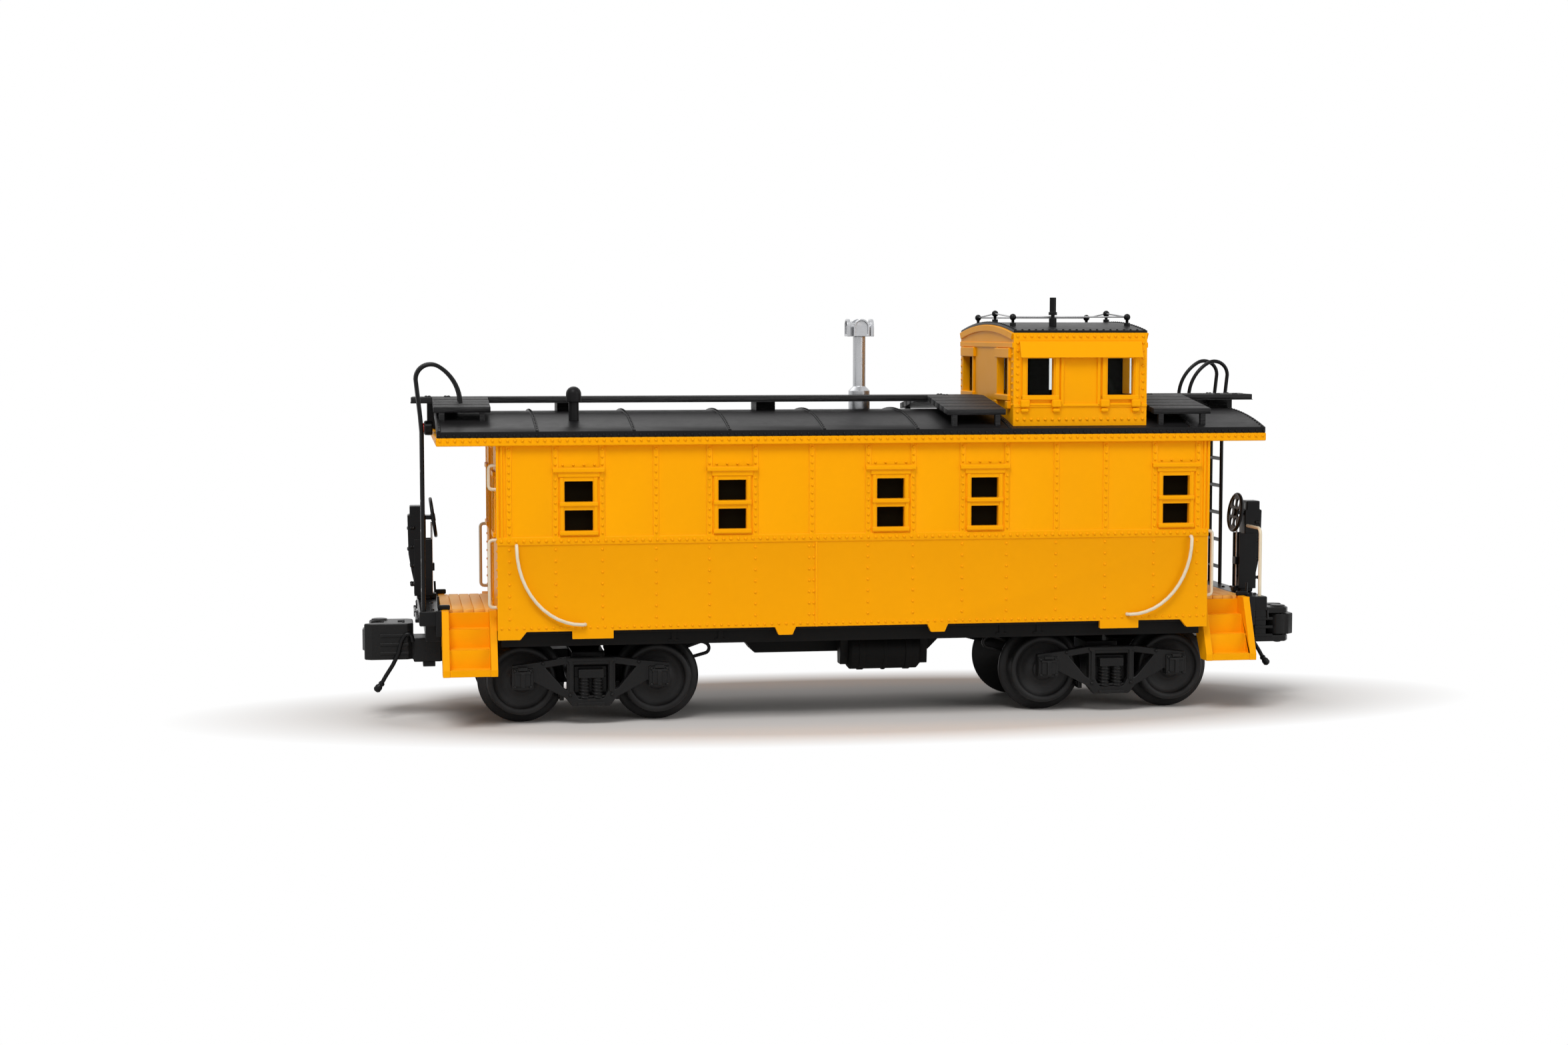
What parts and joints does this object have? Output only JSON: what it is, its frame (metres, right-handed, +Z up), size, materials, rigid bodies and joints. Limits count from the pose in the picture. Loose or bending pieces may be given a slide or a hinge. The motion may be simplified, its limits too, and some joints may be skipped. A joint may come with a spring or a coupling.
{
  "type": "scale model railway caboose with cupola",
  "caption": "Model railway caboose: hollow cabin with a roof cupola, end platforms with steps and ladders, two swivelling trucks with turning wheelsets, and knuckle couplers that open.",
  "frame": {"origin": "on the floor under the middle of the car", "axes": "+X along the car to the cupola end, +Y across, +Z up"},
  "size_m": [0.2532, 0.0632, 0.1094],
  "materials": {
    "yellow_body": "satin",
    "black_roof": "satin",
    "black_boards": "grained satin",
    "black_fittings": "satin",
    "black_underframe": "matt",
    "black_casting": "satin",
    "dark_wheel": "blackened, turned",
    "clear_window": "clear, dark behind",
    "silver_pipe": "bright painted metal",
    "bright_steel": "bright",
    "cream_irons": "satin",
    "red_lens": "clear gloss"
  },
  "bodies": {
    "car": {"body_shell": "yellow_body", "side_glazing": "clear_window", "end_glazing": "clear_window", "end_doors": "yellow_body", "roof": "black_roof", "eave_strip": "yellow_body", "roof_walk": "black_boards", "end_side_boards": "black_boards", "cupola_side_boards": "black_boards", "cupola_shell": "yellow_body", "cupola_glazing": "clear_window", "cupola_roof": "black_roof", "cupola_visors": "yellow_body", "cupola_handrail": "black_fittings", "whistle": "black_roof", "smoke_jack": "silver_pipe", "roof_vent": "black_roof", "marker_lamps": "black_fittings", "marker_lenses": "red_lens", "side_grab_irons": "cream_irons", "end_grab_irons": "cream_irons", "platform_floors": "yellow_body", "end_sills": "black_fittings", "steps_front": "yellow_body", "steps_rear": "yellow_body", "ladder_front": "black_fittings", "ladder_rear": "black_fittings", "end_railings": "cream_irons", "brake_stands": "black_fittings", "brake_wheels": "black_fittings", "brake_rods": "bright_steel", "car_floor": "black_underframe", "centre_sill": "black_underframe", "car_bolsters": "black_underframe", "kingpins": "bright_steel", "air_tank": "black_underframe"},
    "truck_front": {"truck_front_bolster": "black_casting", "truck_front_side_frames": "black_casting", "truck_front_springs": "black_casting", "truck_front_coupler": "black_casting", "truck_front_air_hose": "black_fittings"},
    "axle_front_outer": {"wheelset_front_outer": "dark_wheel"},
    "axle_front_inner": {"wheelset_front_inner": "dark_wheel"},
    "jaw_front": {"knuckle_front": "black_casting"},
    "truck_rear": {"truck_rear_bolster": "black_casting", "truck_rear_side_frames": "black_casting", "truck_rear_springs": "black_casting", "truck_rear_coupler": "black_casting", "truck_rear_air_hose": "black_fittings"},
    "axle_rear_outer": {"wheelset_rear_outer": "dark_wheel"},
    "axle_rear_inner": {"wheelset_rear_inner": "dark_wheel"},
    "jaw_rear": {"knuckle_rear": "black_casting"}
  },
  "joints": [
    {"name": "truck_front_swivel", "type": "hinge", "parent": "car", "child": "truck_front", "pos_m": [0.0689, 0, 0.019], "axis": [0, 0, 1], "range_deg": [-10, 10]},
    {"name": "axle_front_outer_spin", "type": "hinge", "parent": "truck_front", "child": "axle_front_outer", "pos_m": [0.08635, 0, 0.0112], "axis": [0, 1, 0], "continuous": true},
    {"name": "axle_front_inner_spin", "type": "hinge", "parent": "truck_front", "child": "axle_front_inner", "pos_m": [0.05145, 0, 0.0112], "axis": [0, 1, 0], "continuous": true},
    {"name": "knuckle_front_swing", "type": "hinge", "parent": "truck_front", "child": "jaw_front", "pos_m": [0.1222, -0.0034, 0.0203], "axis": [0, 0, -1], "range_deg": [0, 40]},
    {"name": "truck_rear_swivel", "type": "hinge", "parent": "car", "child": "truck_rear", "pos_m": [-0.0689, 0, 0.019], "axis": [0, 0, 1], "range_deg": [-10, 10]},
    {"name": "axle_rear_outer_spin", "type": "hinge", "parent": "truck_rear", "child": "axle_rear_outer", "pos_m": [-0.08635, 0, 0.0112], "axis": [0, 1, 0], "continuous": true},
    {"name": "axle_rear_inner_spin", "type": "hinge", "parent": "truck_rear", "child": "axle_rear_inner", "pos_m": [-0.05145, 0, 0.0112], "axis": [0, 1, 0], "continuous": true},
    {"name": "knuckle_rear_swing", "type": "hinge", "parent": "truck_rear", "child": "jaw_rear", "pos_m": [-0.1222, 0.0034, 0.0203], "axis": [0, 0, -1], "range_deg": [0, 40]}
  ]
}
